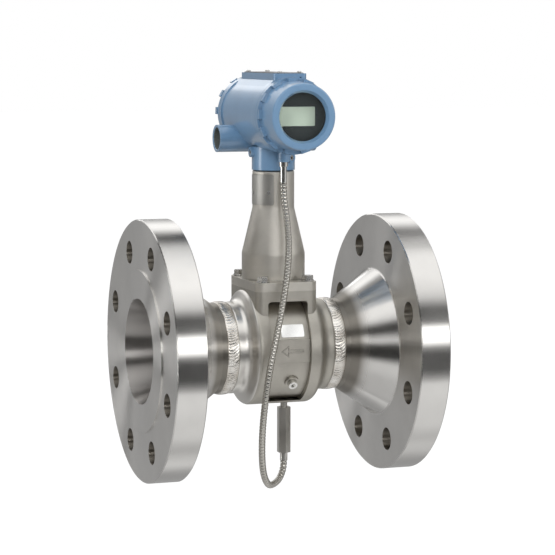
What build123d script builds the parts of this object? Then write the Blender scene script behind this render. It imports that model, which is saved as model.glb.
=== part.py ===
from build123d import *
import os
from math import cos, degrees, pi, radians, sin, sqrt, tan

# In-line vortex flow meter with reducing weld-neck flanges, an integral display head and a temperature probe.
# Millimetres. X runs along the pipe, +X towards the inlet, and Z is up.
# The origin is the centre of the inlet flange's raised face, and the display looks towards -Y.

# Pipe line
face_to_face = 273.0
flange_r = 127.0
flange_thickness = 31.4
flange_edge = 1.0
raised_r = 78.6
raised_height = 1.6
hub_base_r = 73.0
hub_root_fillet = 3.0
hub_end = 65.2
pipe_r = 44.45
pipe_wall = 7.95
face_bore_r = 51.0
bore_taper_end = 66.0
bolt_circle_r = 100.0
flange_bolt_count = 8
flange_bolt_hole_r = 11.2

# Welds between the flange necks and the meter body
weld_centre = 54.5
weld_cap = 12.0
weld_root = 3.0
weld_land = 1.6
weld_crown = 0.6

# Meter body casting
body_r = 56.5
body_half = 32.1
body_wall_run = 6.35
body_neck_rise = 0.35
body_neck_step = 1.0
shoulder_share = 0.51
neck_fillet_share = 0.68
window_half = 20.0
window_depth = 4.5
window_lintel = 9.8
window_sill = 0.5
window_corner_r = 3.0
band_bottom = -10.5
band_top = 12.3
band_proud = 0.6
arrow_length = 22.6
arrow_head = 7.6
arrow_half = 5.3
arrow_shaft_half = 1.5
arrow_line = 0.7
arrow_relief = 0.5
arrow_shift = 2.1
seat_rise = 1.5
seat_half_x = 31.0
seat_half_y = 44.25
seat_corner_r = 8.25
seat_depth = 40.0

# Bar across the bore that sheds the vortices
bar_front = 17.0
bar_front_half = 10.25
bar_land = 2.5
bar_waist = -2.0
bar_waist_half = 3.2
bar_tail = -17.0
bar_tail_half = 2.4

# Sensor above the bore, under the support tube
pocket_r = 14.0
pocket_depth = 11.5
sensor_base_r = 13.0
sensor_base_height = 6.0
sensor_stem_r = 6.5
sensor_height = 26.0
sensor_chamfer = 0.8
sensor_nut_af = 19.0
sensor_nut_height = 8.0
nut_collar_height = 4.5
lead_r = 1.8

# Plug in the front of the body
plug_angle = 34.5
plug_shift = 4.0
plug_boss_r = 6.7
plug_boss_rise = 2.2
plug_boss_root = 2.0
plug_head_r = 4.4
plug_head_height = 4.4
plug_thread_r = 3.2
plug_thread_length = 7.0
plug_hole_depth = 8.0
plug_socket_af = 4.0
plug_socket_depth = 3.0

# Bare label on the window floor
label_width = 23.0
label_height = 12.6
label_corner_r = 1.5
label_thickness = 0.3
label_shift = 3.2
label_centre = 20.8

# Support tube
foot_thickness = 8.6
bell_r = 30.8
bell_height = 34.0
bell_wall = 5.0
tube_neck_r = 20.4
tube_neck_rise = 78.0
tube_neck_bore_r = 13.0
tube_height = 114.5
tube_bevel = 1.2
neck_bore_shoulder = 6.0
bell_blend_r = 14.0
spigot_r = 15.5
spigot_cover = 2.0
spigot_bore_r = 9.0
foot_bolt_x = 22.75
foot_bolt_y = 36.0
foot_bolt_r = 3.0
foot_bolt_af = 10.0
foot_bolt_head = 4.2
foot_bolt_grip = 9.0
foot_washer_r = 6.2
foot_washer_height = 1.4
hole_clearance = 0.4
thread_clearance = 0.05
running_clearance = 0.08
joint_gap = 0.3
skin_clearance = 0.03

# Tag on the neck
tag_from = 18.0
tag_to = 100.0
tag_drop = 33.0
tag_height = 29.0
tag_thickness = 0.6
rivet_angles = (32.0, 88.0)
rivet_r = 0.9
rivet_head_r = 1.7
rivet_head = 0.7
rivet_length = 3.0
rivet_rise = 11.5

# Head: a two-compartment housing whose axis lies along Y
head_rise = 54.0
barrel_r = 36.0
barrel_front = 54.0
barrel_back = 62.0
front_ring_r = 36.7
rear_ring_r = 37.2
ring_length = 10.5
compartment_r = 31.0
thread_bore_r = 32.2
thread_depth = 11.0
seal_pocket_r = 35.0
seal_pocket_depth = 2.8
wall_front = -8.0
wall_back = -12.0
column_r = 21.0
flare_drop = 28.5
flare_length = 6.0
flare_r = 27.0
lead_hole_r = 6.5
left_lug_drop = 36.5
front_lug_drop = 41.5
rear_lug_drop = 39.5
lug_r = 4.9
lug_reach = 24.0
set_screw_r = 2.5
set_screw_length = 8.0
set_screw_af = 2.5
set_screw_socket = 2.5
conduit_y = 24.0
conduit_drop = 23.9
conduit_reach = 50.3
conduit_r = 13.3
conduit_hole_r = 10.65
conduit_thread_depth = 22.0
conduit_taper = 1.79
conduit_passage_r = 8.0
conduit_passage_depth = 36.0
conduit_chamfer = 0.8
pad_half_x = 16.5
pad_front_setback = 2.5
pad_back_setback = 10.5
pad_corner_r = 4.0
pad_rise = 40.0
pad_thickness = 6.5
pad_foot = 10.0
pad_root_half = 27.0
pad_ledge = 1.0
pad_hole_x = 9.6
pad_hole_drop = 4.1
pad_hole_r = 0.9
pad_hole_depth = 2.5
cable_boss_x = 1.0
cable_boss_y = -27.0
cable_boss_r = 5.5
cable_boss_drop = 45.0

# Conduit plug in the unused entry
stop_length = 15.0
stop_socket_af = 9.5
stop_socket_depth = 6.0

# Plate on the head and its screws
plate_half_x = 13.5
plate_margin = 1.5
plate_thickness = 0.8
plate_corner_r = 2.0
plate_screw_x = 9.75
plate_screw_inset = 3.0
plate_screw_r = 1.2
plate_screw_head_r = 2.2
plate_screw_head = 1.5
plate_screw_chamfer = 0.5
plate_screw_length = 5.0

# Screw-on covers
cover_spigot_length = 9.0
cover_inner_r = 29.8
front_rim_r = 36.6
front_rim_length = 5.0
front_cover_length = 35.0
front_cover_r = 33.4
front_cover_front_r = 31.3
front_cover_edge_r = 1.6
window_mouth_r = 24.9
window_hole_r = 22.7
window_wall = 4.0
glass_r = 27.0
glass_thickness = 6.0
glass_clearance = 0.2
retainer_thickness = 2.5
retainer_inner_r = 25.0
rear_rim_r = 35.4
rear_rim_length = 5.5
rear_cover_length = 13.0
rear_cover_r = 33.4
rear_cover_edge_r = 4.0
rear_cover_wall = 5.0
rib_count = 13
rib_phase = 3.0
rib_root_r = 31.0
front_rib_width = 9.0
front_rib_r = 36.2
front_rib_length = 4.5
rear_rib_width = 7.0
rear_rib_r = 37.8
seal_section_r = 1.1
seal_centre_r = 33.6

# Display and electronics in the front compartment
display_gap = 4.5
display_r = 28.4
display_depth = 12.0
panel_width = 36.0
panel_height = 18.4
panel_shift = -1.0
panel_recess = 1.8
panel_thickness = 1.4
panel_corner_r = 1.0
panel_clearance = 0.1
display_post_r = 2.5
display_post_circle = 22.0
display_post_length = 16.0
pack_back = 10.0
pack_r = 29.5
pack_post_r = 3.0
pack_post_circle = 22.0
pack_chamfer = 1.0
shelf_half_x = 8.0
shelf_drop = 12.5
shelf_thickness = 7.0
shelf_back = -4.0
lead_plug_r = 4.0
lead_plug_height = 8.0

# Terminals in the rear compartment
terminal_width = 42.0
terminal_height = 21.0
terminal_rise = 6.5
terminal_depth = 16.0
terminal_corner_r = 4.0
terminal_count = 4
terminal_pitch = 9.5
terminal_screw_r = 2.0
terminal_head_r = 3.2
terminal_head = 2.5
terminal_screw_length = 8.0
terminal_well_r = 4.0
terminal_well_depth = 4.0

# Temperature probe under the body
probe_x = 11.2
probe_stem_r = 3.4
probe_stem_seat = 6.5
probe_tip_r = 1.5
probe_tip_top = 10.0
adapter_drop = 4.7
adapter_length = 45.3
adapter_af = 11.8
adapter_turn = 29.0
probe_stem_grip = 6.0
ferrule_r = 3.7
ferrule_length = 8.2
collar_r = 4.4
collar_length = 4.3
sleeve_r = 3.2
upper_ferrule_length = 19.6

# Armoured cable from the head to the probe
cable_r = 3.0

bore_r = pipe_r - pipe_wall
seat_height = body_r + seat_rise
bell_top = seat_height + bell_height
tube_neck_bottom = seat_height + tube_neck_rise
tube_top = seat_height + tube_height
tag_bottom = tube_top - tag_drop
rivet_height = tag_bottom + rivet_rise
head_height = tube_top + head_rise
spigot_height = head_rise - compartment_r - spigot_cover
cable_boss_bottom = head_height - cable_boss_drop
shelf_bottom = head_height - shelf_drop
mid_x = -face_to_face / 2
half_face = face_to_face / 2
section = Plane(origin=(mid_x, 0, 0), x_dir=(1, 0, 0), z_dir=(0, -1, 0))
level = Plane(origin=(mid_x, 0, 0), x_dir=(1, 0, 0), z_dir=(0, 0, 1))
across = Plane(origin=(mid_x, 0, 0), x_dir=(0, 1, 0), z_dir=(1, 0, 0))
head = Plane(origin=(mid_x, 0, head_height), x_dir=(1, 0, 0), z_dir=(0, -1, 0))
head_section = Plane(origin=(mid_x, 0, head_height), x_dir=(0, -1, 0), z_dir=(-1, 0, 0))
neck_axis = Axis((mid_x, 0, 0), (0, 0, 1))
head_axis = Axis((mid_x, 0, head_height), (0, -1, 0))

os.makedirs("parts", exist_ok=True)


def save(built, name):
    """Label a finished piece and write it as a STEP file of the same name."""
    built.part.label = name
    export_step(built.part, f"parts/{name}.step")


def turned_plane(height, angle, reach):
    """A plane on a vertical cylinder about the neck, at an angle from -Y towards +X, facing outwards."""
    outward = Vector(sin(radians(angle)), -cos(radians(angle)), 0)
    origin = Vector(mid_x, 0, height) + outward * reach
    return Plane(origin=origin, x_dir=Vector(cos(radians(angle)), sin(radians(angle)), 0), z_dir=outward)


# Weld-neck flanges, whose bores taper down to the meter's own bore
weld_outer = weld_centre + weld_cap / 2
weld_inner = weld_centre - weld_cap / 2
land_outer = weld_centre + weld_root / 2
land_inner = weld_centre - weld_root / 2
for flange_name, side in (("inlet_flange", 1), ("outlet_flange", -1)):
    face = Plane(origin=(mid_x + side * half_face, 0, 0), x_dir=(-side, 0, 0), z_dir=(0, side, 0))
    bolting = Plane(origin=(mid_x + side * half_face, 0, 0), x_dir=(0, 1, 0), z_dir=(-side, 0, 0))
    with BuildPart() as flange:
        with BuildSketch(face):
            with BuildLine():
                Polyline(
                    (0, face_bore_r),
                    (0, raised_r),
                    (raised_height, raised_r),
                    (raised_height, flange_r),
                    (flange_thickness, flange_r),
                    (flange_thickness, hub_base_r),
                    (half_face - hub_end, pipe_r),
                    (half_face - weld_outer, pipe_r),
                    (half_face - land_outer, bore_r + weld_land),
                    (half_face - land_outer, bore_r),
                    (bore_taper_end, bore_r),
                    close=True,
                )
            make_face()
        revolve(axis=Axis.X)
        rim_edges = flange.edges().filter_by(GeomType.CIRCLE)
        chamfer(rim_edges.filter_by(lambda edge: abs(edge.radius - flange_r) < 0.01), flange_edge)
        root_edges = flange.edges().filter_by(GeomType.CIRCLE)
        fillet(root_edges.filter_by(lambda edge: abs(edge.radius - hub_base_r) < 0.01), hub_root_fillet)
        with BuildSketch(bolting):
            with PolarLocations(bolt_circle_r, flange_bolt_count, start_angle=180 / flange_bolt_count):
                Circle(flange_bolt_hole_r)
        extrude(amount=flange_thickness + hub_root_fillet, mode=Mode.SUBTRACT)
    save(flange, flange_name)

# Butt welds, filling the bevels between the necks and standing a little proud
for weld_name, side in (("inlet_weld", 1), ("outlet_weld", -1)):
    with BuildPart() as weld:
        with BuildSketch(section):
            with BuildLine():
                Polyline(
                    (side * weld_outer, pipe_r),
                    (side * land_outer, bore_r + weld_land),
                    (side * land_outer, bore_r),
                    (side * land_inner, bore_r),
                    (side * land_inner, bore_r + weld_land),
                    (side * weld_inner, pipe_r),
                )
                ThreePointArc(
                    (side * weld_inner, pipe_r),
                    (side * weld_centre, pipe_r + weld_crown),
                    (side * weld_outer, pipe_r),
                )
            make_face()
        revolve(axis=Axis.X)
    save(weld, weld_name)

# Meter body: one casting with its bar, side windows and the seat for the support tube
body_neck_r = pipe_r + body_neck_rise
body_shoulder_r = shoulder_share * (body_r - body_neck_r)
neck_fillet_r = neck_fillet_share * (body_r - body_neck_r)
window_floor_r = body_r - window_depth
window_top = seat_height - window_lintel
window_bottom = window_sill - window_floor_r
plug_boss_top = window_floor_r + plug_boss_rise
foot_hole_r = foot_bolt_r + hole_clearance
tapped_r = foot_bolt_r + thread_clearance
band_y = sqrt(window_floor_r**2 - band_proud**2) + band_proud
plug_out = Vector(0, -cos(radians(plug_angle)), -sin(radians(plug_angle)))
plug_axis_origin = Vector(mid_x + plug_shift, 0, 0)


def plug_plane(reach):
    """A plane facing outwards at the plug, at a radius from the pipe axis."""
    return Plane(origin=plug_axis_origin + plug_out * reach, x_dir=(1, 0, 0), z_dir=plug_out)


with BuildPart() as meter_body:
    with BuildSketch(section) as body_outline:
        with BuildLine():
            Polyline(
                (-land_inner, bore_r),
                (-land_inner, bore_r + weld_land),
                (-weld_inner, pipe_r),
                (body_neck_step - weld_inner, body_neck_r),
                (-body_half - body_wall_run, body_neck_r),
                (-body_half, body_r),
                (body_half, body_r),
                (body_half + body_wall_run, body_neck_r),
                (weld_inner - body_neck_step, body_neck_r),
                (weld_inner, pipe_r),
                (land_inner, bore_r + weld_land),
                (land_inner, bore_r),
                close=True,
            )
        make_face()
        outer_corners = body_outline.vertices().filter_by_position(Axis.Y, body_r - 0.1, body_r + 0.1)
        fillet(outer_corners, body_shoulder_r)
        neck_corners = body_outline.vertices().filter_by(lambda corner: abs(corner.Y - body_neck_r) < 0.1)
        neck_end = weld_inner - body_neck_step
        fillet(neck_corners.filter_by(lambda corner: abs(corner.X) < neck_end - 0.1), neck_fillet_r)
    revolve(axis=Axis.X)
    with BuildSketch(level.offset(seat_height)):
        RectangleRounded(2 * seat_half_x, 2 * seat_half_y, seat_corner_r)
    extrude(amount=-seat_depth)
    with BuildSketch(across.offset(-window_half)):
        for front in (1, -1):
            with Locations((-front * body_r, (window_top + window_bottom) / 2)):
                Rectangle(2 * body_r, window_top - window_bottom)
        Circle(window_floor_r, mode=Mode.SUBTRACT)
        with Locations((0, (band_top + band_bottom) / 2)):
            Rectangle(2 * band_y, band_top - band_bottom, mode=Mode.SUBTRACT)
    extrude(amount=2 * window_half, mode=Mode.SUBTRACT)
    lip_edges = meter_body.edges().filter_by(Axis.Y)
    fillet(lip_edges.filter_by_position(Axis.Z, window_top - 0.1, window_top + 0.1), window_corner_r)
    with BuildSketch(across.offset(-land_inner)):
        Circle(bore_r)
    extrude(amount=2 * land_inner, mode=Mode.SUBTRACT)
    with BuildSketch(level.offset(-bore_r - weld_land)):
        with BuildLine():
            Polyline(
                (bar_front, -bar_front_half),
                (bar_front, bar_front_half),
                (bar_front - bar_land, bar_front_half),
                (bar_waist, bar_waist_half),
                (bar_tail, bar_tail_half),
                (bar_tail, -bar_tail_half),
                (bar_waist, -bar_waist_half),
                (bar_front - bar_land, -bar_front_half),
                close=True,
            )
        make_face()
    extrude(amount=2 * (bore_r + weld_land))
    with BuildSketch(level.offset(seat_height)):
        Circle(pocket_r)
    extrude(amount=-pocket_depth, mode=Mode.SUBTRACT)
    with BuildSketch(level.offset(seat_height)):
        with GridLocations(2 * foot_bolt_x, 2 * foot_bolt_y, 2, 2):
            Circle(tapped_r)
    extrude(amount=-foot_bolt_grip, mode=Mode.SUBTRACT)
    with BuildSketch(level.offset(-body_r)):
        with Locations((probe_x, 0)):
            Circle(probe_stem_r + thread_clearance)
    extrude(amount=probe_stem_seat, mode=Mode.SUBTRACT)
    with BuildSketch(level.offset(-body_r)):
        with Locations((probe_x, 0)):
            Circle(probe_tip_r + thread_clearance)
    extrude(amount=body_r + probe_tip_top + joint_gap, mode=Mode.SUBTRACT)
    with BuildSketch(plug_plane(plug_boss_top)):
        Circle(plug_boss_r)
    extrude(amount=-(plug_boss_rise + plug_boss_root))
    with BuildSketch(plug_plane(plug_boss_top)):
        Circle(plug_thread_r + thread_clearance)
    extrude(amount=-plug_hole_depth, mode=Mode.SUBTRACT)
    for front in (1, -1):
        arrow_plane = Plane(origin=(mid_x, -front * band_y, 0), x_dir=(1, 0, 0), z_dir=(0, -front, 0))
        tip_x = arrow_shift - arrow_length / 2
        tip_y = front * (band_top + band_bottom) / 2
        with BuildSketch(arrow_plane):
            with BuildLine():
                Polyline(
                    (tip_x, tip_y),
                    (tip_x + arrow_head, tip_y + arrow_half),
                    (tip_x + arrow_head, tip_y + arrow_shaft_half),
                    (tip_x + arrow_length, tip_y + arrow_shaft_half),
                    (tip_x + arrow_length, tip_y - arrow_shaft_half),
                    (tip_x + arrow_head, tip_y - arrow_shaft_half),
                    (tip_x + arrow_head, tip_y - arrow_half),
                    close=True,
                )
            make_face()
            offset(amount=-arrow_line, kind=Kind.INTERSECTION, mode=Mode.SUBTRACT)
        extrude(amount=arrow_relief)
save(meter_body, "meter_body")

# Plug screwed into the boss
with BuildPart() as body_plug:
    with BuildSketch(plug_plane(plug_boss_top)):
        Circle(plug_thread_r)
    extrude(amount=-plug_thread_length)
    with BuildSketch(plug_plane(plug_boss_top)):
        Circle(plug_head_r)
    extrude(amount=plug_head_height)
    with BuildSketch(plug_plane(plug_boss_top + plug_head_height)):
        RegularPolygon(plug_socket_af / 2, 6, major_radius=False)
    extrude(amount=-plug_socket_depth, mode=Mode.SUBTRACT)
save(body_plug, "body_plug")

# Bare label, bent round the window floor
label_low = degrees((label_centre - label_height / 2) / window_floor_r)
label_high = degrees((label_centre + label_height / 2) / window_floor_r)
label_inner_r = window_floor_r + skin_clearance
label_outer_r = label_inner_r + label_thickness
with BuildPart() as body_label:
    with BuildSketch(across.offset(label_shift - label_width / 2)):
        with BuildLine():
            inner_arc = CenterArc((0, 0), label_inner_r, 180 - label_high, label_high - label_low)
            outer_arc = CenterArc((0, 0), label_outer_r, 180 - label_high, label_high - label_low)
            Line(inner_arc @ 0, outer_arc @ 0)
            Line(inner_arc @ 1, outer_arc @ 1)
        make_face()
    extrude(amount=label_width)
    corner_edges = body_label.edges().filter_by(lambda edge: edge.length < 2 * label_thickness)
    fillet(corner_edges, label_corner_r)
save(body_label, "body_label")

# Piezo sensor, standing in the pocket above the bore
pocket_floor = seat_height - pocket_depth
with BuildPart() as vortex_sensor:
    with BuildSketch(level.offset(pocket_floor)):
        Circle(sensor_base_r)
    extrude(amount=sensor_base_height)
    with BuildSketch(level.offset(pocket_floor)):
        Circle(sensor_stem_r)
    extrude(amount=sensor_height)
    chamfer(vortex_sensor.faces().sort_by(Axis.Z)[-1].edges(), sensor_chamfer)
save(vortex_sensor, "vortex_sensor")

# Nut that holds the sensor down: a threaded collar with a hexagon above it
nut_bottom = pocket_floor + sensor_base_height
with BuildPart() as sensor_nut:
    with BuildSketch(level.offset(nut_bottom)):
        Circle(pocket_r - thread_clearance)
    extrude(amount=nut_collar_height)
    with BuildSketch(level.offset(nut_bottom + nut_collar_height)):
        RegularPolygon(sensor_nut_af / 2, 6, major_radius=False)
    extrude(amount=sensor_nut_height)
    with BuildSketch(level.offset(nut_bottom)):
        Circle(sensor_stem_r + hole_clearance)
    extrude(amount=nut_collar_height + sensor_nut_height, mode=Mode.SUBTRACT)
save(sensor_nut, "sensor_nut")

# Lead from the sensor, up the middle of the tube
lead_bottom = pocket_floor + sensor_height
lead_top = shelf_bottom - lead_plug_height
with BuildPart() as sensor_lead:
    with BuildSketch(level.offset(lead_bottom)):
        Circle(lead_r)
    extrude(amount=lead_top - lead_bottom)
save(sensor_lead, "sensor_lead")

# Support tube: a foot, a bell and a neck, cast in one and open inside
foot_top = seat_height + foot_thickness
bell_inner_r = bell_r - bell_wall
with BuildPart() as support_tube:
    with BuildSketch(section) as tube_outline:
        with BuildLine():
            Polyline(
                (bell_inner_r, seat_height),
                (bell_r, seat_height),
                (bell_r, bell_top),
                (tube_neck_r, tube_neck_bottom),
                (tube_neck_r, tube_top - tube_bevel),
                (tube_neck_r - tube_bevel, tube_top),
                (spigot_r, tube_top),
                (spigot_r, tube_top + spigot_height),
                (spigot_bore_r, tube_top + spigot_height),
                (spigot_bore_r, tube_top),
                (tube_neck_bore_r, tube_top - neck_bore_shoulder),
                (tube_neck_bore_r, tube_neck_bottom),
                (bell_inner_r, bell_top),
                close=True,
            )
        make_face()
        blend_corners = tube_outline.vertices().filter_by(
            lambda corner: abs(corner.Y - bell_top) < 0.01 or abs(corner.Y - tube_neck_bottom) < 0.01
        )
        fillet(blend_corners, bell_blend_r)
    revolve(axis=neck_axis)
    with BuildSketch(level.offset(seat_height)):
        RectangleRounded(2 * seat_half_x, 2 * seat_half_y, seat_corner_r)
        Circle(bell_inner_r, mode=Mode.SUBTRACT)
    extrude(amount=foot_thickness)
    with BuildSketch(level.offset(seat_height)):
        with GridLocations(2 * foot_bolt_x, 2 * foot_bolt_y, 2, 2):
            Circle(foot_hole_r)
    extrude(amount=foot_thickness, mode=Mode.SUBTRACT)
    for rivet_angle in rivet_angles:
        with BuildSketch(turned_plane(rivet_height, -rivet_angle, tube_neck_r)):
            Circle(rivet_r + thread_clearance)
        extrude(amount=-rivet_length, mode=Mode.SUBTRACT)
save(support_tube, "support_tube")

# Washers and hexagon bolts at the four corners of the foot
washer_top = foot_top + foot_washer_height
with BuildPart() as foot_washers:
    with BuildSketch(level.offset(foot_top)):
        with GridLocations(2 * foot_bolt_x, 2 * foot_bolt_y, 2, 2):
            Circle(foot_washer_r)
            Circle(foot_hole_r, mode=Mode.SUBTRACT)
    extrude(amount=foot_washer_height)
save(foot_washers, "foot_washers")

with BuildPart() as foot_bolts:
    with BuildSketch(level.offset(washer_top)):
        with GridLocations(2 * foot_bolt_x, 2 * foot_bolt_y, 2, 2):
            RegularPolygon(foot_bolt_af / 2, 6, major_radius=False)
    extrude(amount=foot_bolt_head)
    with BuildSketch(level.offset(washer_top)):
        with GridLocations(2 * foot_bolt_x, 2 * foot_bolt_y, 2, 2):
            Circle(foot_bolt_r)
    extrude(amount=-(washer_top - seat_height + foot_bolt_grip - joint_gap))
save(foot_bolts, "foot_bolts")

# Bare tag, wrapped round the neck and held by two drive pins
tag_inner_r = tube_neck_r + skin_clearance
tag_outer_r = tag_inner_r + tag_thickness
with BuildPart() as neck_tag:
    with BuildSketch(level.offset(tag_bottom)):
        with BuildLine():
            tag_inner = CenterArc((0, 0), tag_inner_r, -90 - tag_to, tag_to - tag_from)
            tag_outer = CenterArc((0, 0), tag_outer_r, -90 - tag_to, tag_to - tag_from)
            Line(tag_inner @ 0, tag_outer @ 0)
            Line(tag_inner @ 1, tag_outer @ 1)
        make_face()
    extrude(amount=tag_height)
    tag_corners = neck_tag.edges().filter_by(lambda edge: edge.length < 2 * tag_thickness)
    fillet(tag_corners, label_corner_r)
    for rivet_angle in rivet_angles:
        with BuildSketch(turned_plane(rivet_height, -rivet_angle, tube_neck_r)):
            Circle(rivet_r + thread_clearance)
        extrude(amount=2 * tag_thickness, mode=Mode.SUBTRACT)
save(neck_tag, "neck_tag")

with BuildPart() as tag_pins:
    for rivet_angle in rivet_angles:
        with BuildSketch(turned_plane(rivet_height, -rivet_angle, tag_outer_r)):
            Circle(rivet_head_r)
        extrude(amount=rivet_head)
        with BuildSketch(turned_plane(rivet_height, -rivet_angle, tag_outer_r)):
            Circle(rivet_r)
        extrude(amount=-(rivet_length - joint_gap))
save(tag_pins, "tag_pins")

# Housing: barrel, wall between the two compartments, conduit bosses, column and pad
column_bottom = tube_top + joint_gap
column_bore_r = spigot_r + running_clearance
column_bore_top = tube_top + spigot_height + joint_gap
conduit_height = head_height - conduit_drop
pad_top = head_height + pad_rise
pad_bottom = pad_top - pad_thickness
pad_root = pad_bottom - pad_foot
pad_front = barrel_front - pad_front_setback
pad_back = barrel_back - pad_back_setback
pad_length = pad_front + pad_back
pad_centre = (pad_back - pad_front) / 2
plate_length = pad_length - 2 * plate_margin
plate_screw_pitch = plate_length - 2 * plate_screw_inset
flare_bottom = head_height - flare_drop
flare_top = flare_bottom + flare_length
left_lug = (-90, head_height - left_lug_drop)
front_lug = (30, head_height - front_lug_drop)
rear_lug = (150, head_height - rear_lug_drop)
lug_places = (left_lug, front_lug, rear_lug)


def conduit_mouth(side):
    """A plane across the mouth of a conduit boss, facing into the housing."""
    mouth_centre = (mid_x + side * conduit_reach, conduit_y, conduit_height)
    return Plane(origin=mouth_centre, x_dir=(0, 1, 0), z_dir=(-side, 0, 0))


with BuildPart() as housing:
    with BuildSketch(head.offset(-barrel_back)):
        Circle(barrel_r)
    extrude(amount=barrel_back + barrel_front)
    for ring_start, ring_r in ((-barrel_back, rear_ring_r), (barrel_front - ring_length, front_ring_r)):
        with BuildSketch(head.offset(ring_start)):
            Circle(ring_r)
        extrude(amount=ring_length)
    with BuildSketch(section.offset(-pad_back)):
        with BuildLine():
            Polyline(
                (-pad_root_half, pad_root),
                (-pad_half_x - pad_ledge, pad_bottom),
                (pad_half_x + pad_ledge, pad_bottom),
                (pad_root_half, pad_root),
                close=True,
            )
        make_face()
    extrude(amount=pad_length)
    with BuildSketch(level.offset(pad_bottom)):
        with Locations((0, pad_centre)):
            RectangleRounded(2 * pad_half_x, pad_length, pad_corner_r)
    extrude(amount=pad_top - pad_bottom)
    with BuildSketch(across.offset(-conduit_reach)):
        with Locations((conduit_y, conduit_height)):
            Circle(conduit_r)
    extrude(amount=2 * conduit_reach)
    with BuildSketch(level.offset(column_bottom)):
        Circle(column_r)
    extrude(amount=head_height - compartment_r - column_bottom)
    with BuildSketch(section):
        with BuildLine():
            Polyline(
                (0, flare_bottom),
                (column_r, flare_bottom),
                (flare_r, flare_top),
                (0, flare_top),
                close=True,
            )
        make_face()
    revolve(axis=neck_axis)
    for turn, lug_height in lug_places:
        with BuildSketch(turned_plane(lug_height, turn, lug_reach)):
            Circle(lug_r)
        extrude(amount=-(lug_reach - spigot_r))
    with BuildSketch(level.offset(cable_boss_bottom)):
        with Locations((cable_boss_x, cable_boss_y)):
            Circle(cable_boss_r)
    extrude(amount=head_height - compartment_r - cable_boss_bottom)
    with BuildSketch(head.offset(wall_front)):
        Circle(compartment_r)
    extrude(amount=barrel_front - wall_front, mode=Mode.SUBTRACT)
    with BuildSketch(head.offset(-barrel_back)):
        Circle(compartment_r)
    extrude(amount=barrel_back + wall_back, mode=Mode.SUBTRACT)
    for thread_start in (barrel_front - thread_depth, -barrel_back):
        with BuildSketch(head.offset(thread_start)):
            Circle(thread_bore_r)
        extrude(amount=thread_depth, mode=Mode.SUBTRACT)
    for seal_start in (barrel_front - seal_pocket_depth, -barrel_back):
        with BuildSketch(head.offset(seal_start)):
            Circle(seal_pocket_r)
        extrude(amount=seal_pocket_depth, mode=Mode.SUBTRACT)
    with BuildSketch(head.offset(wall_front)):
        with PolarLocations(pack_post_circle, 3, start_angle=90):
            Circle(pack_post_r)
    extrude(amount=pack_back - wall_front)
    for side, thread_taper in ((1, conduit_taper), (-1, 0.0)):
        with BuildSketch(conduit_mouth(side)):
            Circle(conduit_hole_r)
        extrude(amount=conduit_thread_depth, taper=thread_taper, mode=Mode.SUBTRACT)
        with BuildSketch(conduit_mouth(side)):
            Circle(conduit_passage_r)
        extrude(amount=conduit_passage_depth, mode=Mode.SUBTRACT)
    bore_edges = housing.edges().filter_by(GeomType.CIRCLE)
    bore_edges = bore_edges.filter_by(lambda edge: abs(edge.radius - conduit_hole_r) < 0.01)
    mouth_edges = bore_edges.filter_by(lambda edge: abs(edge.center().X - mid_x) > conduit_reach - 0.1)
    chamfer(mouth_edges, conduit_chamfer)
    with BuildSketch(level.offset(column_bottom)):
        Circle(column_bore_r)
    extrude(amount=column_bore_top - column_bottom, mode=Mode.SUBTRACT)
    with BuildSketch(level.offset(column_bottom)):
        Circle(lead_hole_r)
    extrude(amount=flare_bottom - column_bottom, mode=Mode.SUBTRACT)
    for turn, lug_height in lug_places:
        with BuildSketch(turned_plane(lug_height, turn, lug_reach)):
            Circle(set_screw_r + thread_clearance)
        extrude(amount=-(lug_reach - spigot_bore_r), mode=Mode.SUBTRACT)
    with BuildSketch(level.offset(pad_top)):
        with Locations((0, pad_centre)):
            with GridLocations(2 * plate_screw_x, plate_screw_pitch, 2, 2):
                Circle(plate_screw_r + thread_clearance)
    extrude(amount=-plate_screw_length, mode=Mode.SUBTRACT)
    with BuildSketch(section.offset(pad_front)):
        with Locations((pad_hole_x, pad_top - pad_hole_drop)):
            Circle(pad_hole_r)
    extrude(amount=-pad_hole_depth, mode=Mode.SUBTRACT)
save(housing, "housing")

# Set screws that lock the head on the neck
with BuildPart() as housing_set_screws:
    for turn, lug_height in lug_places:
        with BuildSketch(turned_plane(lug_height, turn, spigot_r + joint_gap)):
            Circle(set_screw_r)
        extrude(amount=set_screw_length)
        with BuildSketch(turned_plane(lug_height, turn, spigot_r + joint_gap + set_screw_length)):
            RegularPolygon(set_screw_af / 2, 6, major_radius=False)
        extrude(amount=-set_screw_socket, mode=Mode.SUBTRACT)
save(housing_set_screws, "housing_set_screws")

# Plug in the conduit entry on the inlet side
with BuildPart() as conduit_plug:
    with BuildSketch(conduit_mouth(1)):
        Circle(conduit_hole_r - thread_clearance)
    extrude(amount=stop_length, taper=conduit_taper)
    with BuildSketch(conduit_mouth(1)):
        RegularPolygon(stop_socket_af / 2, 6, major_radius=False)
    extrude(amount=stop_socket_depth, mode=Mode.SUBTRACT)
save(conduit_plug, "conduit_plug")

# Bare plate on the pad, and its four screws
with BuildPart() as head_plate:
    with BuildSketch(level.offset(pad_top)):
        with Locations((0, pad_centre)):
            RectangleRounded(2 * plate_half_x, plate_length, plate_corner_r)
            with GridLocations(2 * plate_screw_x, plate_screw_pitch, 2, 2):
                Circle(plate_screw_r + hole_clearance, mode=Mode.SUBTRACT)
    extrude(amount=plate_thickness)
save(head_plate, "head_plate")

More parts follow.
